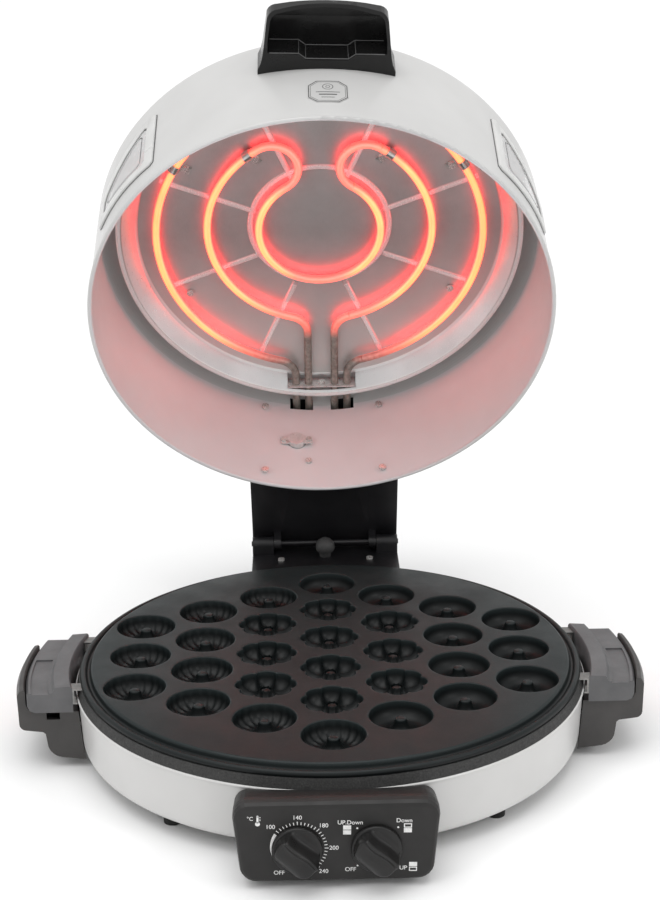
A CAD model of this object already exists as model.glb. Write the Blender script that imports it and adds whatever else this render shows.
import math
import bpy
import bmesh
from mathutils import Vector, Matrix
from mathutils.geometry import delaunay_2d_cdt


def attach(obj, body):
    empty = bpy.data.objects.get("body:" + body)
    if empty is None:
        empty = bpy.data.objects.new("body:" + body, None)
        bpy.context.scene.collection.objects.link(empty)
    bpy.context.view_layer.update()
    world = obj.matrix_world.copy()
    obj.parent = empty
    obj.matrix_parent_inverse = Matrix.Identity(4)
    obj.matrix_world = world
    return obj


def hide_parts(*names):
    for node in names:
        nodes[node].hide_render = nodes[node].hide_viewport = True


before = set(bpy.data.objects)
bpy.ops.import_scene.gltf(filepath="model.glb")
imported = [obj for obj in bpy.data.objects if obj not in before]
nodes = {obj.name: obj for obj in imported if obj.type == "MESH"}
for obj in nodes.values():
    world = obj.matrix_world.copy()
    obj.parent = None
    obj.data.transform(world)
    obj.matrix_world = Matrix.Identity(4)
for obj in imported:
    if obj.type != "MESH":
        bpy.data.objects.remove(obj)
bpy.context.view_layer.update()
scene = bpy.context.scene
MM = 0.001

# ------------------------------------------------------------------ key dimensions (mm, CAD frame)
OPEN = math.radians(66.0)
PANEL_FRONT = 243.0
KNOB_GAP = 1.2
KNOB_H = 17.0
KNOB_X, KNOB_Z, KNOB_R = 28.7, 33.0, 18.6
HINGE_Y, HINGE_Z = 274.0, 73.4
PLATE_Z = 79.0
RIM_Z = PLATE_Z - 2.7
LID_TOP = RIM_Z + 140.0
ARM_TOP_Y, ARM_TOP_Z = HINGE_Y - 54.0, LID_TOP - 6.0            # rear edge of the arm's top, lid closed
front_reach = PANEL_FRONT + KNOB_GAP + KNOB_H
back_reach = HINGE_Y + (ARM_TOP_Y - HINGE_Y) * math.cos(OPEN) + (ARM_TOP_Z - HINGE_Z) * math.sin(OPEN)
BASE_Y = (front_reach - back_reach) / 2
BASE = Vector((0.0, BASE_Y * MM, 0.0))
LID = (Matrix.Translation((0, (HINGE_Y + BASE_Y) * MM, HINGE_Z * MM)) @ Matrix.Rotation(-OPEN, 4, "X")
       @ Matrix.Translation((0, -HINGE_Y * MM, -HINGE_Z * MM)))
LID_AXIS = Vector((0, math.sin(OPEN), math.cos(OPEN)))      # the drum's axis, rim to top, at rest
LID_R = 206.0                                               # the drum's outer radius
LID_TURN = math.radians(2.0)                                # the drum's fittings sit a little to the right
WINDOW_ANGLE = 58.0                                         # from the drum's front round to each window

# ------------------------------------------------------------------ edges between looks (m, closed lid)
WALL_SKIN = (0.2052, 0.2054)                                # radii between the drum's inner and outer paint
TOP_SKIN = (0.199, 0.200)                                   # heights between its inner and outer paint
RING_R = 0.065                                              # the reflector's embossed ring
RING_SHIFT = 0.008                                          # that ring's centre, forward of the drum's axis
RIB_END = 0.157                                             # where its eight ribs begin to fade
SLOPE_IN, SLOPE_OUT = 0.1705, 0.1855                        # its sloping border, inside the rolled lip
GLOW = 3.0                                                  # emission of the hottest part of the elements


# ------------------------------------------------------------------ material helpers
class Shade:
    """A small builder for procedural materials."""

    def __init__(self, name, rough=0.5, metal=0.0, specular=0.5, coat=0.0, coat_rough=0.1):
        self.mat = bpy.data.materials.new(name)
        self.mat.use_nodes = True
        self.nt = self.mat.node_tree
        self.nt.nodes.clear()
        out = self.nt.nodes.new("ShaderNodeOutputMaterial")
        self.bsdf = self.nt.nodes.new("ShaderNodeBsdfPrincipled")
        self.nt.links.new(self.bsdf.outputs[0], out.inputs[0])
        b = self.bsdf.inputs
        b["Roughness"].default_value = rough
        b["Metallic"].default_value = metal
        b["IOR"].default_value = 1.5
        b["Specular IOR Level"].default_value = specular
        b["Coat Weight"].default_value = coat
        b["Coat Roughness"].default_value = coat_rough
        self.coord = self.nt.nodes.new("ShaderNodeTexCoord")

    def node(self, kind, **props):
        n = self.nt.nodes.new(kind)
        for k, v in props.items():
            setattr(n, k, v)
        return n

    def link(self, a, b):
        self.nt.links.new(a, b)

    def feed(self, socket, v):
        """Links a node's output to a socket, or sets the socket to a number or a colour."""
        if hasattr(v, "is_output"):
            self.link(v, socket)
        elif isinstance(v, (tuple, list)):
            socket.default_value = (*v, 1.0)
        else:
            socket.default_value = v

    def stretched(self, scale):
        """Object position, scaled along each axis."""
        m = self.node("ShaderNodeMapping")
        m.inputs["Scale"].default_value = scale
        self.link(self.coord.outputs["Object"], m.inputs["Vector"])
        return m.outputs[0]

    def noise(self, scale, detail=3.0, rough=0.55, stretch=(1, 1, 1)):
        n = self.node("ShaderNodeTexNoise")
        n.inputs["Scale"].default_value = scale
        n.inputs["Detail"].default_value = detail
        n.inputs["Roughness"].default_value = rough
        self.link(self.stretched(stretch), n.inputs["Vector"])
        return n.outputs["Fac"]

    def ramp(self, fac, stops):
        r = self.node("ShaderNodeValToRGB")
        e = r.color_ramp.elements
        while len(e) < len(stops):
            e.new(0.5)
        for i, (p, c) in enumerate(stops):
            e[i].position = p
            e[i].color = (*c, 1.0) if not isinstance(c, float) else (c, c, c, 1.0)
        self.link(fac, r.inputs["Fac"])
        return r.outputs["Color"]

    def span(self, fac, a0, a1, b0, b1):
        r = self.node("ShaderNodeMapRange")
        for k, v in zip(("From Min", "From Max", "To Min", "To Max"), (a0, a1, b0, b1)):
            r.inputs[k].default_value = v
        self.link(fac, r.inputs["Value"])
        return r.outputs["Result"]

    def mix(self, fac, a, b):
        m = self.node("ShaderNodeMix", data_type="RGBA")
        for socket, v in zip((m.inputs[0], m.inputs[6], m.inputs[7]), (fac, a, b)):
            self.feed(socket, v)
        return m.outputs[2]

    def math(self, op, a, b=None, clamp=False):
        m = self.node("ShaderNodeMath", operation=op, use_clamp=clamp)
        for socket, v in zip(m.inputs, (a, b)):
            if v is not None:
                self.feed(socket, v)
        return m.outputs[0]

    def length(self, a, b):
        """Length of the plane vector (a, b)."""
        return self.math("SQRT", self.math("ADD", self.math("MULTIPLY", a, a), self.math("MULTIPLY", b, b)))

    def dot(self, source, direction):
        m = self.node("ShaderNodeVectorMath", operation="DOT_PRODUCT")
        self.link(source, m.inputs[0])
        m.inputs[1].default_value = direction
        return m.outputs["Value"]

    def bump(self, *layers):
        """Each layer is (height, strength, distance)."""
        last = None
        for height, strength, distance in layers:
            b = self.node("ShaderNodeBump")
            b.inputs["Strength"].default_value = strength
            b.inputs["Distance"].default_value = distance
            self.link(height, b.inputs["Height"])
            if last is not None:
                self.link(last, b.inputs["Normal"])
            last = b.outputs[0]
        self.link(last, self.bsdf.inputs["Normal"])

    def colour(self, c):
        self.link(c, self.bsdf.inputs["Base Color"])

    def rough(self, r):
        self.link(r, self.bsdf.inputs["Roughness"])


def two_tone(s, a, b, scale, detail=4.0):
    """Base colour that wanders between a and b."""
    s.colour(s.ramp(s.noise(scale, detail, 0.6), [(0.35, a), (0.65, b)]))


def moulded(name, a, b, rough=0.45, grain=1500.0, strength=0.25, specular=0.5):
    """Spark-textured plastic with faint mould mottling and rubbed, shinier spots."""
    s = Shade(name, rough, specular=specular)
    two_tone(s, a, b, 35.0)
    s.rough(s.span(s.noise(60.0, 3.0), 0.3, 0.7, rough - 0.07, rough + 0.08))
    s.bump((s.noise(grain, 2.0, 0.7), strength, 0.00025), (s.noise(90.0, 2.0), 0.12, 0.0005))
    return s.mat


def enamel(name, rough):
    """Baked paint without its colour: very fine orange peel, and slight dust in the gloss."""
    s = Shade(name, rough, specular=0.5, coat=0.25, coat_rough=0.12)
    s.rough(s.span(s.noise(45.0, 4.0), 0.3, 0.7, rough - 0.05, rough + 0.07))
    s.bump((s.noise(420.0, 2.0, 0.5), 0.10, 0.0003), (s.noise(14.0, 2.0), 0.10, 0.002))
    return s


def painted(name, a, b, rough):
    """Baked paint with a faint change of tone."""
    s = enamel(name, rough)
    two_tone(s, a, b, 9.0, 3.0)
    return s.mat


def lid_level(z):
    """How far along LID_AXIS the closed lid's height z (mm) lies once the lid is open."""
    return (LID @ Vector((0.0, 0.0, z * MM))).dot(LID_AXIS)


def lid_place(s):
    """Object position turned back to the closed lid: (x, depth from the drum's axis) in metres."""
    along = Vector((0, math.cos(OPEN), -math.sin(OPEN)))          # the closed lid's +Y, at rest
    pivot = Vector((0, (HINGE_Y + BASE_Y) * MM, HINGE_Z * MM)).dot(along) - HINGE_Y * MM
    depth = s.math("SUBTRACT", s.dot(s.coord.outputs["Object"], along), pivot)
    return s.dot(s.coord.outputs["Object"], (1.0, 0.0, 0.0)), depth


def lid_paint():
    """The drum's paint outside and on top, and a paler, warmer enamel inside."""
    s = enamel("lid_paint", 0.36)
    x, depth = lid_place(s)
    height = s.math("SUBTRACT", s.dot(s.coord.outputs["Object"], LID_AXIS), lid_level(0.0))
    wall = s.span(s.length(x, depth), *WALL_SKIN, 0.0, 1.0)
    outside = s.math("MAXIMUM", wall, s.span(height, *TOP_SKIN, 0.0, 1.0))
    tone = s.noise(9.0, 3.0, 0.6)
    skin = s.ramp(tone, [(0.35, (0.555, 0.552, 0.545)), (0.65, (0.595, 0.592, 0.585))])
    inner = s.ramp(tone, [(0.35, (0.68, 0.655, 0.662)), (0.65, (0.73, 0.705, 0.712))])
    s.colour(s.mix(outside, inner, skin))
    return s.mat


def steel(name, a, b, rough=0.3, scratch=700.0, stretch=(1, 1, 1)):
    """Sheet or turned steel with fine scratches, drawn out along the axes by stretch."""
    s = Shade(name, rough, metal=1.0)
    two_tone(s, a, b, 160.0, 5.0)
    s.rough(s.span(s.noise(scratch, 4.0, 0.7, stretch), 0.25, 0.75, rough - 0.08, rough + 0.14))
    s.bump((s.noise(scratch * 1.3, 4.0, 0.7, stretch), 0.12, 0.0002))
    return s.mat


# ------------------------------------------------------------------ materials
M = {}
M["white"] = painted("white_paint", (0.565, 0.562, 0.553), (0.605, 0.602, 0.593), 0.36)
M["lid_white"] = lid_paint()
M["frame_white"] = moulded("window_frame_white", (0.60, 0.60, 0.59), (0.68, 0.68, 0.67), 0.32, 900.0, 0.1)
M["panel"] = moulded("panel_black", (0.012, 0.0115, 0.011), (0.018, 0.017, 0.0165), 0.46, 1700.0, 0.30, 0.38)
M["knob"] = moulded("knob_black", (0.010, 0.0098, 0.0098), (0.015, 0.0145, 0.014), 0.34, 2100.0, 0.14, 0.36)
M["handle"] = moulded("handle_black", (0.006, 0.006, 0.006), (0.008, 0.0078, 0.0078), 0.22, 1900.0, 0.08,
                      0.34)
M["edge"] = moulded("edge_gloss", (0.06, 0.06, 0.06), (0.10, 0.10, 0.10), 0.18, 1900.0, 0.05)
M["grip"] = moulded("grip_grey", (0.085, 0.085, 0.088), (0.112, 0.111, 0.114), 0.46, 1500.0, 0.30)
M["bracket"] = moulded("bracket_grey", (0.034, 0.032, 0.031), (0.048, 0.045, 0.043), 0.46, 1500.0, 0.30)
M["rubber"] = moulded("foot_rubber", (0.014, 0.014, 0.014), (0.028, 0.028, 0.027), 0.72, 700.0, 0.4, 0.3)
M["bumper"] = moulded("bumper_rubber", (0.035, 0.035, 0.035), (0.052, 0.052, 0.052), 0.6, 800.0, 0.3, 0.4)
M["wire"] = moulded("wire_sleeve", (0.35, 0.07, 0.05), (0.5, 0.12, 0.09), 0.7, 1600.0, 0.5, 0.3)
M["ceramic"] = moulded("terminal_ceramic", (0.62, 0.60, 0.52), (0.72, 0.70, 0.62), 0.55, 900.0, 0.2)
M["tab"] = steel("tab_steel", (0.20, 0.20, 0.195), (0.30, 0.295, 0.285), 0.36)
M["steel"] = steel("zinc_steel", (0.50, 0.49, 0.47), (0.66, 0.65, 0.62), 0.32)
M["screw"] = steel("screw_steel", (0.58, 0.57, 0.55), (0.75, 0.74, 0.72), 0.24, 1200.0)
M["bright"] = steel("bright_zinc", (0.66, 0.65, 0.64), (0.80, 0.79, 0.78), 0.3, 900.0)
for shiny in ("screw", "bright"):                           # bright plating, paler than bare steel
    M[shiny].node_tree.nodes["Principled BSDF"].inputs["Metallic"].default_value = 0.6
M["shaft"] = steel("turned_steel", (0.5, 0.5, 0.49), (0.62, 0.62, 0.6), 0.28, 400.0, (1, 8, 1))


def stove_enamel():
    """Hinge brackets: satin black stove enamel over pressed metal."""
    s = Shade("hinge_black", 0.38, specular=0.45)
    two_tone(s, (0.006, 0.006, 0.007), (0.011, 0.0105, 0.012), 28.0)
    s.rough(s.span(s.noise(70.0, 4.0), 0.3, 0.7, 0.32, 0.46))
    s.bump((s.noise(600.0, 3.0, 0.65), 0.14, 0.0003), (s.noise(20.0, 2.0), 0.08, 0.0015))
    return s.mat


def rough_band():
    """Coarse wrinkle paint on the ring under the plate, with chips of lighter grain."""
    s = Shade("wrinkle_band", 0.62, specular=0.4)
    n = s.noise(750.0, 4.0, 0.75)
    dark, middle, chip = (0.016, 0.016, 0.016), (0.042, 0.042, 0.041), (0.12, 0.12, 0.118)
    s.colour(s.ramp(n, [(0.35, dark), (0.62, middle), (0.8, chip)]))
    s.rough(s.span(s.noise(300.0), 0.3, 0.7, 0.5, 0.75))
    s.bump((n, 0.55, 0.0006), (s.noise(160.0, 3.0), 0.3, 0.0008))
    return s.mat


def non_stick():
    """Non-stick coating: charcoal, fine speckle, soft sheen, slightly polished in patches."""
    s = Shade("non_stick", 0.5, specular=0.27)
    tones = [(0.35, (0.0064, 0.0118, 0.0124)), (0.68, (0.0100, 0.0170, 0.0178))]
    base = s.ramp(s.noise(12.0, 4.0, 0.6), tones)
    fleck = s.ramp(s.noise(2600.0, 2.0, 0.5), [(0.60, 0.0), (0.74, 1.0)])
    surface = s.mix(fleck, base, (0.055, 0.055, 0.055))
    height = s.dot(s.coord.outputs["Object"], (0.0, 0.0, 1.0))
    deep = s.span(height, (PLATE_Z - 6.0) * MM, (PLATE_Z - 0.8) * MM, 0.0, 1.0)
    s.colour(s.mix(deep, (0.0022, 0.0036, 0.0038), surface))
    s.rough(s.span(s.noise(40.0, 4.0), 0.3, 0.7, 0.36, 0.48))
    s.bump((s.noise(1500.0, 3.0, 0.6), 0.20, 0.0002), (s.noise(220.0, 2.0), 0.10, 0.0004))
    return s.mat


def reflector_sheet():
    """Dull aluminised sheet: rolled grain and mottling, with rubbed, brighter crests on the embossing."""
    s = Shade("aluminised_sheet", 0.5, metal=0.75)
    grain = s.noise(260.0, 5.0, 0.7, (9, 1, 1))
    cloud = s.noise(16.0, 4.0, 0.6)
    x, depth = lid_place(s)
    radius = s.length(x, depth)
    around = s.length(x, s.math("ADD", depth, RING_SHIFT))
    ring = s.span(s.math("ABSOLUTE", s.math("SUBTRACT", around, RING_R)), 0.0017, 0.0031, 1.0, 0.0)
    ribs = None
    for k in range(4):                                           # each line across the sheet is two ribs
        turn = math.radians(22.5 + 45.0 * k)
        off = s.math("ADD", s.math("MULTIPLY", x, math.sin(turn)), s.math("MULTIPLY", depth, -math.cos(turn)))
        rib = s.span(s.math("ABSOLUTE", off), 0.0016, 0.0030, 1.0, 0.0)
        ribs = rib if ribs is None else s.math("MAXIMUM", ribs, rib)
    start = s.span(radius, RING_R - 0.001, RING_R + 0.001, 0.0, 1.0)
    end = s.span(radius, RIB_END, RIB_END + 0.002, 1.0, 0.0)
    ribs = s.math("MULTIPLY", ribs, s.math("MULTIPLY", start, end))
    crest = s.math("MAXIMUM", ring, ribs, True)
    lip = s.span(radius, SLOPE_OUT, SLOPE_OUT + 0.001, 0.0, 1.0)
    border = s.span(radius, SLOPE_IN, SLOPE_IN + 0.0015, 0.0, 1.0)
    slope = s.math("MULTIPLY", border, s.span(radius, SLOPE_OUT - 0.001, SLOPE_OUT, 1.0, 0.0))
    a = s.ramp(cloud, [(0.3, (0.36, 0.37, 0.365)), (0.7, (0.47, 0.48, 0.475))])
    a = s.mix(s.ramp(grain, [(0.4, 0.0), (0.75, 0.35)]), a, (0.56, 0.565, 0.56))
    a = s.mix(s.span(depth, 0.0, 0.15, 0.0, 0.85), a, (0.86, 0.87, 0.85))
    pale = s.ramp(s.noise(14.0, 3.0, 0.5), [(0.3, (0.60, 0.60, 0.60)), (0.7, (0.76, 0.76, 0.76))])
    a = s.mix(slope, a, pale)
    bright = s.math("MAXIMUM", s.math("MULTIPLY", crest, 0.9), lip, True)
    s.colour(s.mix(bright, a, (0.95, 0.945, 0.94)))
    s.link(s.math("SUBTRACT", 0.75, s.math("MULTIPLY", bright, 0.45)), s.bsdf.inputs["Metallic"])
    shine = s.math("MAXIMUM", s.math("MULTIPLY", border, 0.7), crest, True)
    s.rough(s.math("SUBTRACT", s.span(grain, 0.25, 0.75, 0.42, 0.58), s.math("MULTIPLY", shine, 0.26)))
    s.bump((grain, 0.16, 0.0002), (s.noise(30.0, 3.0), 0.16, 0.0012))
    return s.mat


def hot_sheath(name, cold_from, cold_to):
    """Element sheath: dull tan steel at the cold legs, then a bright amber core along the heated run,
    redder on the flanks and cooler where the loops run across the lid."""
    s = Shade(name, 0.45, metal=0.5)
    x, depth = lid_place(s)
    heat = s.span(depth, cold_from * MM, cold_to * MM, 0.0, 1.0)
    cold = s.ramp(s.noise(240.0, 4.0), [(0.35, (0.26, 0.235, 0.21)), (0.65, (0.42, 0.38, 0.34))])
    s.colour(s.mix(heat, cold, (0.75, 0.45, 0.40)))
    s.bump((s.noise(900.0, 3.0), 0.2, 0.0002))
    side = s.span(s.math("DIVIDE", s.math("ABSOLUTE", x), s.length(x, depth)), 0.42, 0.80, 0.0, 1.0)
    wander = s.span(s.noise(35.0, 3.0), 0.25, 0.75, 0.8, 1.12)
    facing = s.dot(s.coord.outputs["Normal"], -LID_AXIS)
    core = s.span(facing, 0.30, 0.88, 0.0, 1.0)
    level = s.math("MULTIPLY", core, s.math("ADD", s.math("MULTIPLY", side, 0.72), 0.28))
    red, orange, amber = (1.0, 0.045, 0.035), (1.0, 0.085, 0.035), (1.0, 0.165, 0.028)
    tint = s.ramp(level, [(0.0, red), (0.35, orange), (0.9, amber)])
    behind = s.span(facing, -0.15, -0.65, 0.0, 1.0)
    s.link(s.mix(behind, tint, (1.0, 0.030, 0.034)), s.bsdf.inputs["Emission Color"])
    power = s.span(level, 0.0, 0.8, GLOW * 0.36, GLOW)
    power = s.math("ADD", power, s.math("MULTIPLY", behind, GLOW * 1.15))
    s.link(s.math("MULTIPLY", s.math("MULTIPLY", heat, wander), power), s.bsdf.inputs["Emission Strength"])
    return s.mat


M["hinge"] = stove_enamel()
M["band"] = rough_band()
M["coat"] = non_stick()
M["reflector"] = reflector_sheet()
M["pan"] = steel("galvanised_sheet", (0.5, 0.5, 0.49), (0.62, 0.62, 0.6), 0.34, 300.0)
M["sheath"] = steel("cold_sheath", (0.22, 0.19, 0.165), (0.34, 0.30, 0.26), 0.42, 500.0)
M["hot_outer"] = hot_sheath("hot_outer", 150.0, 118.0)
M["hot_inner"] = hot_sheath("hot_inner", 118.0, 90.0)


def window_glass():
    """Hazy pane with faint waves and finger marks."""
    s = Shade("window_glass", 0.04)
    s.bsdf.inputs["Transmission Weight"].default_value = 0.4
    two_tone(s, (0.70, 0.70, 0.70), (0.80, 0.80, 0.80), 20.0)
    s.rough(s.span(s.noise(90.0, 3.0), 0.3, 0.7, 0.03, 0.10))
    s.bump((s.noise(25.0, 2.0), 0.05, 0.001))
    return s.mat


def print_ink(name, a, b):
    """Screen-printed ink with a slight grain."""
    s = Shade(name, 0.5)
    two_tone(s, a, b, 500.0)
    s.bump((s.noise(2500.0, 2.0), 0.15, 0.0001))
    return s.mat


M["glass"] = window_glass()
M["ink"] = print_ink("print_white", (0.70, 0.70, 0.69), (0.85, 0.85, 0.84))
M["ink_dark"] = print_ink("print_dark", (0.05, 0.05, 0.05), (0.09, 0.09, 0.09))
M["badge"] = painted("badge_enamel", (0.52, 0.518, 0.512), (0.56, 0.558, 0.55), 0.3)

CAD_LOOKS = {
    "white": ["base_shell"],
    "lid_white": ["lid_shell"],
    "pan": ["base_underplate", "heat_shield_pan"],
    "tab": ["plate_tabs"],
    "rubber": ["rubber_feet"],
    "screw": ["foot_screws", "bracket_screws", "base_bracket_screws", "lid_bracket_screws",
              "reflector_screws", "terminal_plate_screw", "cutout_screws", "earth_screw", "handle_screws"],
    "band": ["base_top_ring"],
    "sheath": ["lower_outer_heater", "lower_inner_heater"],
    "steel": ["lower_heater_clips", "thermostat_body", "control_nuts", "thermostat_bulb",
              "reflector_spacers", "lid_heater_clips"],
    "bright": ["heater_terminal_plate", "lid_thermal_cutout"],
    "coat": ["donut_plate"],
    "grip": ["left_plate_grip", "right_plate_grip"],
    "bracket": ["left_side_bracket", "right_side_bracket"],
    "panel": ["control_box", "selector_body"],
    "ceramic": ["terminal_block"],
    "wire": ["base_wiring"],
    "knob": ["temperature_knob", "selector_knob"],
    "shaft": ["thermostat_shaft", "selector_shaft"],
    "hinge": ["hinge_base_bracket", "hinge_lid_bracket", "hinge_pin"],
    "bumper": ["lid_bumper"],
    "reflector": ["lid_reflector"],
    "hot_outer": ["lid_outer_heater"],
    "hot_inner": ["lid_inner_heater"],
    "frame_white": ["left_window_frame", "right_window_frame"],
    "glass": ["left_window_glass", "right_window_glass"],
    "handle": ["lid_handle"],
    "badge": ["lid_badge"],
}
for look, names in CAD_LOOKS.items():
    for name in names:
        nodes[name].data.materials.clear()
        nodes[name].data.materials.append(M[look])


# ------------------------------------------------------------------ mesh helpers
def make(name, verts, faces, look, body, replaces=(), sharp=38.0, lid=False, slot=None):
    """A mesh piece; verts are in millimetres about the base's axis, or about the closed lid's."""
    me = bpy.data.meshes.new(name)
    if lid:
        pts = [LID @ (Vector(v) * MM) for v in verts]
    else:
        pts = [Vector(v) * MM + BASE for v in verts]
    me.from_pydata([tuple(p) for p in pts], [], faces)
    bm = bmesh.new()
    bm.from_mesh(me)
    bmesh.ops.remove_doubles(bm, verts=bm.verts, dist=2e-6)
    bmesh.ops.recalc_face_normals(bm, faces=bm.faces)
    bm.to_mesh(me)
    bm.free()
    me.polygons.foreach_set("use_smooth", [True] * len(me.polygons))
    me.set_sharp_from_angle(angle=math.radians(sharp))
    me.materials.append(M[look])
    ob = bpy.data.objects.new(name, me)
    scene.collection.objects.link(ob)
    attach(ob, body)
    if replaces:
        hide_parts(*replaces)


def soften(node, width, angle, segments):
    """Rounds a CAD node's crisp edges without touching its mesh."""
    ob = nodes[node]
    weld = ob.modifiers.new("weld", "WELD")
    weld.merge_threshold = 1e-6
    bevel = ob.modifiers.new("bevel", "BEVEL")
    bevel.width = width * MM
    bevel.segments = segments
    bevel.limit_method = "ANGLE"
    bevel.angle_limit = math.radians(angle)
    bevel.use_clamp_overlap = True


def join(parts):
    """One list of verts and one of faces from several such pairs."""
    verts, faces = [], []
    for part_verts, part_faces in parts:
        faces += [tuple(len(verts) + i for i in f) for f in part_faces]
        verts += part_verts
    return verts, faces


def circle(x, y, r, n):
    """Corners of a round outline about (x, y)."""
    return [(x + r * math.cos(2 * math.pi * i / n), y + r * math.sin(2 * math.pi * i / n)) for i in range(n)]


def rectangle(x, y, w, h):
    """Corners of an upright rectangle about (x, y)."""
    return [(x - w / 2, y - h / 2), (x + w / 2, y - h / 2), (x + w / 2, y + h / 2), (x - w / 2, y + h / 2)]


def rotated(x, y, angle):
    """The plane point (x, y) turned about the origin."""
    c, s = math.cos(angle), math.sin(angle)
    return x * c - y * s, x * s + y * c


# ------------------------------------------------------------------ the cavity plate
PITCH = 61.2
COLUMN = PITCH * math.sqrt(3) / 2
CAVITY_R = 25.2
PATCH_R = 28.6                                                   # where a cavity's mesh meets the flat top
POST_R = 4.7
TROUGH_STEPS = 15
RIM_R = 197.6                                                    # outer edge of the flat top
RIM_N = 256
WEB = 4.5                                                        # thickness of the plate between its cups
WEB_R = 196.0
CUP_R = 28.3
CUP_N = 48
CUP = ((CUP_R, WEB), (27.3, 7.5), (24.4, 12.5), (21.0, 15.6), (16.0, 16.6))
PLAIN, RIBBED, FLOWER = 0, 1, 2
SEGMENTS = {PLAIN: 72, RIBBED: 120, FLOWER: 96}
KINDS = [                                                        # by number, in columns from left to right
    [1, 1, 1], [1, 1, 1, 1], [1, 2, 2, 2, 1], [0, 2, 2, 2, 2, 1],
    [0, 2, 2, 2, 0], [0, 0, 0, 0], [0, 0, 0]]
CAVITIES = [(kind, (c - 3) * COLUMN, ((len(column) - 1) / 2 - k) * PITCH)
            for c, column in enumerate(KINDS) for k, kind in enumerate(column)]


def cavity_profile(kind, a):
    """(radius, depth) pairs of one cavity at angle a, from the flat top in to the post's middle."""
    if kind == FLOWER:
        notch = 1 - abs(math.cos(4 * a)) ** 0.55
        mouth, low, drop = CAVITY_R - 0.2 - 3.4 * notch, 12.8 - 1.8 * notch, 5.2
    else:
        mouth, low, drop = CAVITY_R, 14.0, 2.4
    out = [(PATCH_R, 0.0)]
    out += [(mouth + 1.3, 0.0), (mouth + 0.55, 0.06), (mouth + 0.15, 0.32), (mouth - 0.05, 0.9)]
    middle = (mouth + POST_R) / 2
    half = (mouth - POST_R) / 2
    for i in range(1, TROUGH_STEPS):
        phi = i / TROUGH_STEPS * math.pi
        r = middle + (half - 0.1) * math.cos(phi)
        d = 0.9 + (low - 0.9) * math.sin(phi) ** 0.72
        if kind == RIBBED:
            swirl = 20 * a + 2.4 * (mouth - r) / mouth * math.pi * 0.5
            groove = 1 - abs(math.sin(swirl / 2)) ** 0.7
            r -= 0.9 * groove * max(0.0, math.cos(phi * 0.55)) * (1 if phi < 2.6 else 0.4)
            d -= 1.1 * groove * math.sin(phi)
        elif kind == FLOWER:
            d -= 3.6 * 0.55 * notch * math.sin(phi) ** 0.6
        out.append((r, d))
    # up the post and over its rounded top
    out += [(POST_R + 0.05, 8.6), (4.4, drop + 1.6), (4.05, drop + 0.6), (3.4, drop + 0.12)]
    return out + [(1.9, drop - 0.15), (0.0, drop - 0.2)]


def flat_web(points, counts):
    """Triangles of a flat sheet: the first loop is its outline, every later loop is a hole."""
    loops, at = [], 0
    for n in counts:
        loops.append(list(range(at, at + n)))
        at += n
    out = delaunay_2d_cdt([Vector(p) for p in points], [], loops, 1, 1e-5)
    kept = [f for f, owners in zip(out[2], out[5]) if set(owners) == {0}]
    return [(p.x, p.y) for p in out[0]], kept


def rim_profile():
    """(radius, height) over the rim: rounding, gutter, rolled bead, flange and underside."""
    out = [(RIM_R, 0.0)]
    out += [(RIM_R + 2.4 * math.sin(t), -2.4 * (1 - math.cos(t))) for t in (0.35, 0.75, 1.15, math.pi / 2)]
    out += [(200.25, -4.0), (200.8, -5.3), (201.9, -5.9), (203.0, -5.6)]
    bead = [math.radians(a) for a in (165, 140, 115, 90, 65, 40, 15, -5)]
    out += [(206.1 + 2.8 * math.cos(t), -5.85 + 2.8 * math.sin(t)) for t in bead]
    return out + [(208.9, -7.2), (208.5, -7.6), (197.4, -7.6), (197.0, -7.2), (196.6, -4.9), (WEB_R, -WEB)]


def build_plate():
    """The cast plate: thirty cavities in a flat top, a turned rim, and tapered cups underneath."""
    verts, faces = [], []
    tops, roots = [], []

    def add(points, z):
        verts.extend((x, y, z) for x, y in points)
        return list(range(len(verts) - len(points), len(verts)))

    def shifted(ring):
        return ring[1:] + ring[:1]

    for kind, cx, cy in CAVITIES:
        n = SEGMENTS[kind]
        grid = []
        for k in range(n):
            a = 2 * math.pi * k / n
            profile = cavity_profile(kind, a)
            grid.append([add([(cx + r * math.cos(a), cy + r * math.sin(a))], PLATE_Z - d)[0]
                         for r, d in profile[:-1]])
        tip = add([(cx, cy)], PLATE_Z - cavity_profile(kind, 0.0)[-1][1])[0]
        for p, q in zip(grid, shifted(grid)):
            for j in range(len(p) - 1):
                faces.append((p[j], q[j], q[j + 1], p[j + 1]))
            faces.append((p[-1], q[-1], tip))
        tops += [verts[column[0]][:2] for column in grid]
    points, web = flat_web(circle(0, 0, RIM_R, RIM_N) + tops, [RIM_N] + [SEGMENTS[c[0]] for c in CAVITIES])
    at = add(points, PLATE_Z)[0]
    faces += [tuple(at + i for i in f) for f in web]

    rings = [add(circle(0, 0, r, RIM_N), PLATE_Z + z) for r, z in rim_profile()]
    for p, q in zip(rings, rings[1:]):
        faces += zip(p, shifted(p), shifted(q), q)

    for _, cx, cy in CAVITIES:
        roots += circle(cx, cy, CUP_R, CUP_N)
        rings = [add(circle(cx, cy, r, CUP_N), PLATE_Z - d) for r, d in CUP]
        for p, q in zip(rings, rings[1:]):
            faces += zip(shifted(p), p, q, shifted(q))
        faces.append(tuple(rings[-1]))
    points, web = flat_web(circle(0, 0, WEB_R, RIM_N) + roots, [RIM_N] + [CUP_N] * len(CAVITIES))
    at = add(points, PLATE_Z - WEB)[0]
    faces += [tuple(at + i for i in reversed(f)) for f in web]
    make("donut_plate_cast", verts, faces, "coat", "base", ("donut_plate",), 50.0, slot="plate_coating")


build_plate()

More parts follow.
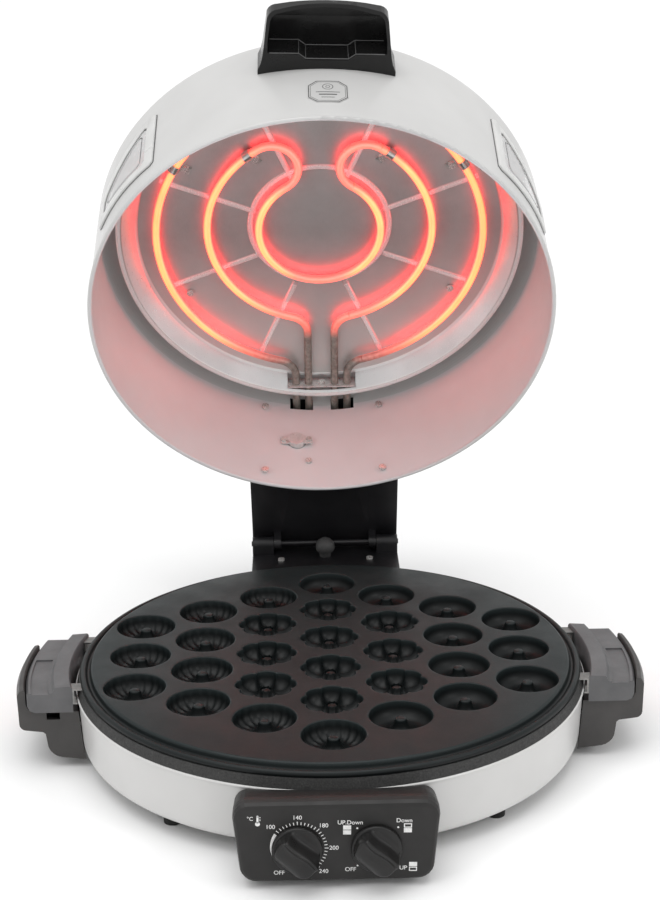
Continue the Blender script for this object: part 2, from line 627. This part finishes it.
# ------------------------------------------------------------------ dial print on the control panel
PRINT_Y = -PANEL_FRONT - 0.05
CAP = 3.3                                                        # height of the capitals
PRINT_TILT = math.radians(1.4)                                   # the legend sits a little askew


def text_shape(words, cap):
    """Outline of a few letters as flat triangles, centred, cap height in millimetres."""
    cu = bpy.data.curves.new("letters", "FONT")
    cu.body = words
    cu.offset = 0.007
    ob = bpy.data.objects.new("letters", cu)
    scene.collection.objects.link(ob)
    me = ob.to_mesh()
    pts = [(v.co.x, v.co.y) for v in me.vertices]
    tris = [tuple(f.vertices) for f in me.polygons]
    ob.to_mesh_clear()
    bpy.data.objects.remove(ob)
    bpy.data.curves.remove(cu)
    x0, x1 = min(p[0] for p in pts), max(p[0] for p in pts)
    y0, y1 = min(p[1] for p in pts), max(p[1] for p in pts)
    k = cap / (y1 - y0)
    return [((x - (x0 + x1) / 2) * k, (y - (y0 + y1) / 2) * k) for x, y in pts], tris


class Print:
    """Flat ink shapes about one knob's centre, x to the right and z up."""

    def __init__(self, knob_x):
        self.x = knob_x
        self.verts, self.faces = [], []

    def add(self, pts, polys):
        at = len(self.verts)
        c, s = math.cos(PRINT_TILT), math.sin(PRINT_TILT)
        self.verts += [((self.x + x) * c + z * s, PRINT_Y, KNOB_Z + z * c - (self.x + x) * s) for x, z in pts]
        self.faces += [tuple(at + i for i in f) for f in polys]

    def words(self, text, x, z, cap=CAP):
        pts, tris = text_shape(text, cap)
        self.add([(x + a, z + b) for a, b in pts], tris)

    def block(self, x, z, w, h):
        self.add(rectangle(x, z, w, h), [(0, 1, 2, 3)])

    def disc(self, x, z, r, n):
        self.add(circle(x, z, r, n), [tuple(range(n))])

    def crescent(self, r, widths, a0, a1, n):
        """A band outside radius r whose width goes from one value to another between two angles."""
        pts = []
        for i in range(n + 1):
            t = i / n
            a = math.radians(a0 + (a1 - a0) * t)
            w = widths[0] + (widths[1] - widths[0]) * t
            pts += [(r * math.cos(a), r * math.sin(a)), ((r + w) * math.cos(a), (r + w) * math.sin(a))]
        self.add(pts, [(2 * i, 2 * i + 1, 2 * i + 3, 2 * i + 2) for i in range(n)])

    def tick(self, degrees, r0, r1, w):
        a = math.radians(degrees)
        corners = ((r0, -w / 2), (r1, -w / 2), (r1, w / 2), (r0, w / 2))
        self.add([rotated(r, q, a) for r, q in corners], [(0, 1, 2, 3)])

    def done(self, name):
        make(name, self.verts, self.faces, "ink", "base")


def print_temperatures():
    p = Print(1.0 - KNOB_X)
    for text, x, z in (("100", -20.0, 17.4), ("140", -0.7, 24.9), ("180", 18.3, 18.6), ("200", 25.6, 0.5),
                       ("240", 18.3, -18.6), ("OFF", -13.9, -19.9)):
        p.words(text, x, z)
    p.words("\u00b0C", -35.0, 24.0, 3.2)
    # a small thermometer: bulb, stem, round top and three marks
    p.disc(-29.6, 19.6, 1.75, 24)
    p.block(-29.6, 23.0, 1.5, 5.4)
    p.disc(-29.6, 25.7, 0.75, 16)
    for k in range(3):
        p.block(-27.9, 22.4 + 1.3 * k, 1.1, 0.4)
    first, last, steps = 139.0, -45.5, 24                        # the scale's ends in degrees
    for k in range(steps + 1):
        p.tick(first + (last - first) * k / steps, 18.9, 21.1 if k % 6 else 21.7, 0.62)
    p.crescent(19.0, (2.3, 0.4), 146.0, 233.0, 48)
    p.done("temperature_print")


def print_modes():
    p = Print(KNOB_X + 0.4)
    for text, x, z in (("UP.Down", -19.7, 21.0), ("Down", 19.3, 22.7), ("OFF", -19.0, -17.1),
                       ("UP", 19.3, -15.8)):
        p.words(text, x, z)
    for x, z in ((-14.6, 16.3), (14.9, 17.1), (-13.9, -14.1), (15.0, -12.5)):
        p.disc(x, z, 0.75, 16)
    # two bars each, the upper and the lower heater; the one that is off is only an outline
    for x, z, hollow in ((-21.9, 14.9, None), (21.9, 16.6, 1), (26.3, -14.9, -1)):
        for side in (1, -1):
            cz = z + 1.95 * side
            if side == hollow:
                p.block(x, cz + 1.35, 5.8, 0.75)
                p.block(x, cz - 1.35, 5.8, 0.75)
                p.block(x - 2.55, cz, 0.7, 1.96)
                p.block(x + 2.55, cz, 0.7, 1.96)
            else:
                p.block(x, cz, 5.8, 3.45)
    p.done("selector_print")


print_temperatures()
print_modes()

# ------------------------------------------------------------------ knobs
BAR = [                                                          # (across, height) over the grip bar
    (14.2, 3.0), (11.4, 3.15), (9.4, 4.0), (8.1, 6.0), (7.3, 9.5), (6.7, 13.2), (6.1, 15.7),
    (5.2, 16.9), (4.2, 16.6), (3.2, 15.4), (1.9, 14.5), (0.2, 14.2), (-1.8, 14.6), (-4.0, 15.2),
    (-6.2, 15.1), (-8.6, 14.1), (-10.8, 12.2), (-12.6, 9.4), (-14.0, 6.0), (-15.0, 3.7), (-16.2, 3.0)]
SKIRT = [                                                        # (radius, height) of the round skirt
    (0.0, 3.0), (KNOB_R - 2.2, 3.0), (KNOB_R - 1.0, 2.85), (KNOB_R - 0.35, 2.3), (KNOB_R, 1.2), (KNOB_R, 0.0),
    (9.2, 0.0), (9.2, 1.6), (0.0, 1.6)]
SKIRT_N = 96
BAR_STEPS = 26
BAR_FILLET = 1.8
BAR_TURN = math.radians(-45.0)                                   # the bar's slant at rest


def smooth_path(points, per=4):
    """A Catmull-Rom curve through a list of 2-D points."""
    out = []
    last = len(points) - 1
    for i in range(last):
        p0, p1, p2, p3 = (points[max(0, min(last, i + k))] for k in (-1, 0, 1, 2))
        for j in range(per):
            t = j / per
            out.append(tuple(0.5 * (2 * b + (c - a) * t + (2 * a - 5 * b + 4 * c - d) * t * t
                                    + (3 * b - a - 3 * c + d) * t * t * t)
                             for a, b, c, d in zip(p0, p1, p2, p3)))
    return out + [points[-1]]


def bar_surface():
    """The grip bar's skin, its crest winding a little along the bar."""
    reach = KNOB_R - 1.9
    verts, faces = [], []
    for v, h in smooth_path(BAR):
        half = math.sqrt(reach * reach - v * v)
        row = []
        for j in range(-BAR_STEPS, BAR_STEPS + 1):
            u = half * math.sin(j / BAR_STEPS * math.pi / 2)
            gap = half - abs(u)
            low = 0.0
            if gap < BAR_FILLET:
                low = BAR_FILLET - math.sqrt(max(0.0, BAR_FILLET ** 2 - (BAR_FILLET - gap) ** 2))
            wind = 1.3 * math.sin(math.pi * u / reach) * max(0.0, 1 - abs(v) / 15.0)
            row.append((u, v + wind, max(2.6, h - low)))
        row = [(row[0][0], row[0][1], 2.2)] + row + [(row[-1][0], row[-1][1], 2.2)]
        verts += row
    n = len(row)
    for i in range(len(verts) // n - 1):
        for j in range(n - 1):
            a = i * n + j
            faces.append((a, a + 1, a + n + 1, a + n))
    return verts, faces


def skirt_surface():
    """A turned disc with a rounded rim."""
    verts, faces = [], []
    last = None
    for r, z in SKIRT:
        at = len(verts)
        if r == 0.0:
            verts.append((0.0, 0.0, z))
            here = [at] * SKIRT_N
        else:
            verts += [(x, y, z) for x, y in circle(0, 0, r, SKIRT_N)]
            here = [at + i for i in range(SKIRT_N)]
        if last:
            for i in range(SKIRT_N):
                j = (i + 1) % SKIRT_N
                faces.append(tuple(dict.fromkeys((last[i], last[j], here[j], here[i]))))
        last = here
    return verts, faces


def build_knob(name, x, body, cad):
    """Grip bar across a round skirt; the local third axis points out of the panel."""
    verts, faces = join([bar_surface(), skirt_surface()])
    placed = []
    for u, v, w in verts:
        px, pz = rotated(u, v, BAR_TURN)
        placed.append((x + px, -PANEL_FRONT - KNOB_GAP - w, KNOB_Z + pz))
    make(name, placed, faces, "knob", body, (cad,), 40.0, slot="panel_black")


build_knob("temperature_knob_smooth", -KNOB_X, "temperature_control", "temperature_knob")
build_knob("selector_knob_smooth", KNOB_X, "mode_selector", "selector_knob")


# ------------------------------------------------------------------ lines drawn on the drum
INK_STEP = 3.0                                                   # longest straight piece of a line
WINDOW_LINES = ((3.75, 2.95, 0.22), (-6.9, -8.3, 1.12), (-13.5, -14.3, 1.12))   # two offsets, and how far out
BADGE_Z = RIM_Z + 42.0
BADGE_R = LID_R + 0.76


def turned(x, y, z):
    """A point about the closed lid's axis, turned with its fittings."""
    return (*rotated(x, y, LID_TURN), z)


def on_drum(x, z, r, angle=0.0, mirror=False):
    """A point of a front-facing outline carried onto the closed lid's drum, as the fittings are."""
    px, py = rotated(x, -math.sqrt(r * r - x * x), math.radians(angle))
    return turned(-px if mirror else px, py, z)


def ribbon(outer, inner, r, angle=0.0, mirror=False):
    """Vertices and faces of a thin closed strip between two outlines with the same corners."""
    a, b = [], []
    for lo, li in zip(zip(outer, outer[1:] + outer[:1]), zip(inner, inner[1:] + inner[:1])):
        n = max(1, int(math.dist(*lo) / INK_STEP))
        for i in range(n):
            t = i / n
            a.append(tuple(p + (q - p) * t for p, q in zip(*lo)))
            b.append(tuple(p + (q - p) * t for p, q in zip(*li)))
    n = len(a)
    v = [on_drum(x, z, r, angle, mirror) for x, z in a + b]
    return v, [(i, (i + 1) % n, n + (i + 1) % n, n + i) for i in range(n)]


def window_outline(g):
    """The side window's outline as (along the drum, height), grown by g."""
    z = RIM_Z
    return [(43 + g, z + 30 - g), (43 + g, z + 97 + g), (39 + g, z + 100 + g), (-38 - g, z + 76 + g),
            (-43 - g, z + 71 + g), (-43 - g, z + 42 - g), (-38 - g, z + 37 - g), (39 + g, z + 27 - g)]


for side, mirror in (("left", False), ("right", True)):
    strips = [ribbon(window_outline(a), window_outline(b), LID_R + out, -WINDOW_ANGLE, mirror)
              for a, b, out in WINDOW_LINES]
    make(side + "_window_lines", *join(strips), "ink_dark", "lid", lid=True)


def badge_octagon(h, c):
    """A square outline of half width h with its corners cut by c."""
    z = BADGE_Z
    return [(h, z - h + c), (h, z + h - c), (h - c, z + h), (c - h, z + h),
            (-h, z + h - c), (-h, z - h + c), (c - h, z - h), (h - c, z - h)]


def badge_lines():
    """A plain outline with a ring and three bars: no mark of any maker."""
    strips = [ribbon(badge_octagon(16.3, 6.9), badge_octagon(15.6, 6.7), BADGE_R),
              ribbon(badge_octagon(14.7, 6.3), badge_octagon(14.35, 6.2), BADGE_R)]
    for outer, inner in ((4.6, 4.0), (1.9, 1.4)):
        z = BADGE_Z + 7.2
        strips.append(ribbon(circle(0, z, outer, 28), circle(0, z, inner, 28), BADGE_R))
    for dz, w, h in ((-1.2, 20.0, 0.9), (-5.0, 15.0, 1.5), (-9.4, 11.0, 0.8)):
        z = BADGE_Z + dz
        strips.append(ribbon(rectangle(0, z, w, h), rectangle(0, z, w * 0.98, 0.01), BADGE_R))
    make("badge_lines", *join(strips), "ink_dark", "lid", lid=True)


def tube(path, r, n=8):
    """A thin round bead along a path of 3-D points, closed at its ends."""
    verts, faces = [], []
    pts = [Vector(p) for p in path]
    for i, p in enumerate(pts):
        along = (pts[min(i + 1, len(pts) - 1)] - pts[max(i - 1, 0)]).normalized()
        side = along.cross(Vector((0.31, 0.52, 0.79))).normalized()
        up = along.cross(side)
        verts += [tuple(p + (side * math.cos(2 * math.pi * k / n) + up * math.sin(2 * math.pi * k / n)) * r)
                  for k in range(n)]
    for i in range(len(pts) - 1):
        for k in range(n):
            j = (k + 1) % n
            faces.append((i * n + k, i * n + j, (i + 1) * n + j, (i + 1) * n + k))
    return verts, faces + [tuple(range(n)), tuple(len(verts) - n + k for k in range(n))]


def handle_edges():
    """Polished moulding edges inside the finger hollow, which catch the light."""
    brim = RIM_Z + 81.2
    deep = RIM_Z + 104.8
    step = [(-48.5, -218.8), (-24.0, -218.8), (-18.0, -214.2), (18.0, -214.2), (24.0, -218.8), (48.5, -218.8)]
    parts = []
    for (ax, ay), (bx, by) in zip(step, step[1:]):
        parts.append(tube([(ax, ay - 0.1, deep), (bx, by - 0.1, deep)], 0.55))
        parts.append(tube([(ax, ay - 0.3, brim), (bx, by - 0.3, brim)], 0.45))
    for x, y in step[1:-1]:
        parts.append(tube([(x, y - 0.1, brim), (x, y - 0.1, deep)], 0.4))
    verts, faces = join(parts)
    make("handle_hollow_edges", [turned(*p) for p in verts], faces, "edge", "lid", sharp=60.0, lid=True)


badge_lines()
handle_edges()

for names, width, angle, segments in (
        (("left_plate_grip", "right_plate_grip", "left_side_bracket", "right_side_bracket"), 0.9, 40.0, 3),
        (("lid_handle",), 1.2, 30.0, 3),
        (("hinge_base_bracket", "hinge_lid_bracket"), 0.8, 40.0, 2),
        (("left_window_frame", "right_window_frame"), 0.5, 40.0, 2)):
    for name in names:
        soften(name, width, angle, segments)

# ------------------------------------------------------------------ camera
cam = bpy.data.cameras.new("camera")
cam_ob = bpy.data.objects.new("camera", cam)
scene.collection.objects.link(cam_ob)
scene.camera = cam_ob
fwd = Vector((0.0135, 0.9518, -0.3064)).normalized()
right = Vector((0.9997, -0.0188, -0.0146))
right = (right - fwd * right.dot(fwd)).normalized()
up = right.cross(fwd).normalized()
rot = Matrix((right, up, -fwd)).transposed().to_4x4()
cam_ob.matrix_world = Matrix.Translation((-0.0161, -1.4106 + BASE_Y * MM, 0.7111)) @ rot
cam.sensor_width = 36.0
cam.lens = 73.0588
cam.shift_x = -0.0016
cam.clip_start = 0.01
cam.clip_end = 200.0

# ------------------------------------------------------------------ floor, world and lights
floor_me = bpy.data.meshes.new("floor")
floor_me.from_pydata([(x, y, 0) for x, y in rectangle(0, 0, 80, 80)], [], [(0, 1, 2, 3)])
floor = bpy.data.objects.new("floor", floor_me)
scene.collection.objects.link(floor)
s = Shade("floor_pale", 0.9, specular=0.1)
two_tone(s, (0.91, 0.91, 0.91), (0.925, 0.925, 0.925), 2.0)
floor_me.materials.append(s.mat)

world = bpy.data.worlds.new("world")
scene.world = world
world.use_nodes = True
world.node_tree.nodes["Background"].inputs[0].default_value = (1.0, 1.0, 1.0, 1.0)
world.node_tree.nodes["Background"].inputs[1].default_value = 0.80


def area(name, place, size, power):
    """A soft lamp aimed at the donut maker's middle."""
    lamp = bpy.data.lights.new(name, "AREA")
    lamp.shape = "RECTANGLE"
    lamp.size, lamp.size_y = size
    lamp.energy = power
    ob = bpy.data.objects.new(name, lamp)
    scene.collection.objects.link(ob)
    ob.location = place
    ob.rotation_euler = (Vector((0, 0, 0.2)) - Vector(place)).to_track_quat("-Z", "Y").to_euler()


sun = bpy.data.lights.new("soft_sun", "SUN")
sun.energy = 1.15
sun.angle = math.radians(55)
sun_ob = bpy.data.objects.new("soft_sun", sun)
scene.collection.objects.link(sun_ob)
sun_ob.rotation_euler = Vector((0.10, 0.12, -1.0)).to_track_quat("-Z", "Y").to_euler()
area("key", (-1.5, -1.6, 2.0), (0.5, 0.4), 5.0)
area("fill", (1.7, -1.2, 1.5), (0.5, 0.5), 6.0)

scene.view_settings.view_transform = "Standard"
scene.view_settings.look = "None"
scene.view_settings.exposure = 0.0
scene.view_settings.gamma = 1.0
